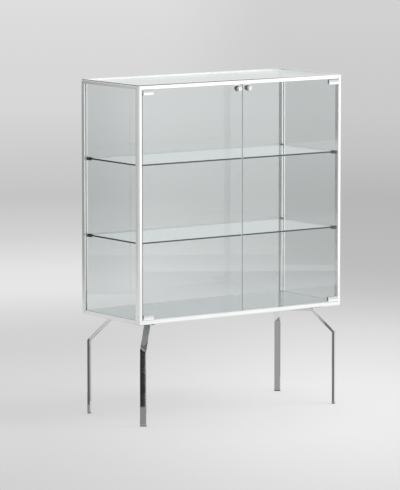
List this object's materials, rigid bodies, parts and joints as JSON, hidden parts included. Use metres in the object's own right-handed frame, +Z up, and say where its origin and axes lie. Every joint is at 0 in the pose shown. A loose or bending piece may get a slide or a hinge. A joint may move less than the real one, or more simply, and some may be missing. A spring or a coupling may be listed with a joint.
{
  "type": "glass display case",
  "caption": "Floor-standing framed glass showcase with hinged lockable glass doors, glass shelves on clips and bent flat-bar metal legs.",
  "frame": {"origin": "on the floor, under the middle of the object's bounding box", "axes": "+Z up, the doors face -Y, +X to the right seen from the front"},
  "size_m": [1, 0.4304, 1.35],
  "materials": {
    "frame_metal": "very pale, bright satin anodised extrusion, nearly white",
    "clear_glass": "clear float glass, ground edges",
    "base_board": "glossy grey-green laminated board",
    "chrome": "bright chrome plate on steel",
    "satin_metal": "satin",
    "steel": "turned",
    "black_plastic": "matte",
    "black_rubber": "matte"
  },
  "bodies": {
    "case": {"front_left_post": "frame_metal", "front_right_post": "frame_metal", "back_left_post": "frame_metal", "back_right_post": "frame_metal", "bottom_front_rail": "frame_metal", "bottom_back_rail": "frame_metal", "bottom_left_rail": "frame_metal", "bottom_right_rail": "frame_metal", "top_front_rail": "frame_metal", "top_back_rail": "frame_metal", "top_left_rail": "frame_metal", "top_right_rail": "frame_metal", "bottom_front_left_corner": "frame_metal", "bottom_front_right_corner": "frame_metal", "bottom_back_left_corner": "frame_metal", "bottom_back_right_corner": "frame_metal", "top_front_left_corner": "frame_metal", "top_front_right_corner": "frame_metal", "top_back_left_corner": "frame_metal", "top_back_right_corner": "frame_metal", "left_pane": "clear_glass", "right_pane": "clear_glass", "back_pane": "clear_glass", "top_pane": "clear_glass", "lower_shelf": "clear_glass", "upper_shelf": "clear_glass", "base_board": "base_board", "lock_keeper": "frame_metal", "lower_front_left_clip": "black_plastic", "lower_front_right_clip": "black_plastic", "lower_back_left_clip": "black_plastic", "lower_back_right_clip": "black_plastic", "upper_front_left_clip": "black_plastic", "upper_front_right_clip": "black_plastic", "upper_back_left_clip": "black_plastic", "upper_back_right_clip": "black_plastic", "front_left_leg": "chrome", "front_left_glide": "black_rubber", "front_right_leg": "chrome", "front_right_glide": "black_rubber", "back_left_leg": "chrome", "back_left_glide": "black_rubber", "back_right_leg": "chrome", "back_right_glide": "black_rubber"},
    "left_door": {"left_door_glass": "clear_glass", "bottom_left_hinge_clamp": "satin_metal", "top_left_hinge_clamp": "satin_metal", "bottom_left_hinge_pin": "steel", "top_left_hinge_pin": "steel", "left_lock_housing": "chrome", "left_lock_nut": "steel"},
    "right_door": {"right_door_glass": "clear_glass", "bottom_right_hinge_clamp": "satin_metal", "top_right_hinge_clamp": "satin_metal", "bottom_right_hinge_pin": "steel", "top_right_hinge_pin": "steel", "right_lock_housing": "chrome", "right_lock_nut": "steel"},
    "left_lock": {"left_lock_plug": "chrome"},
    "right_lock": {"right_lock_plug": "chrome"}
  },
  "joints": [
    {"name": "left_door_hinge", "type": "hinge", "parent": "case", "child": "left_door", "pos_m": [-0.4625, -0.18866, 0.877], "axis": [0, 0, -1], "range_deg": [0, 105]},
    {"name": "right_door_hinge", "type": "hinge", "parent": "case", "child": "right_door", "pos_m": [0.4625, -0.18866, 0.877], "axis": [0, 0, 1], "range_deg": [0, 105]},
    {"name": "left_lock_turn", "type": "hinge", "parent": "left_door", "child": "left_lock", "pos_m": [-0.025, -0.19216, 1.3165], "axis": [0, -1, 0], "range_deg": [0, 90]},
    {"name": "right_lock_turn", "type": "hinge", "parent": "right_door", "child": "right_lock", "pos_m": [0.025, -0.19216, 1.3165], "axis": [0, -1, 0], "range_deg": [0, 90]}
  ]
}
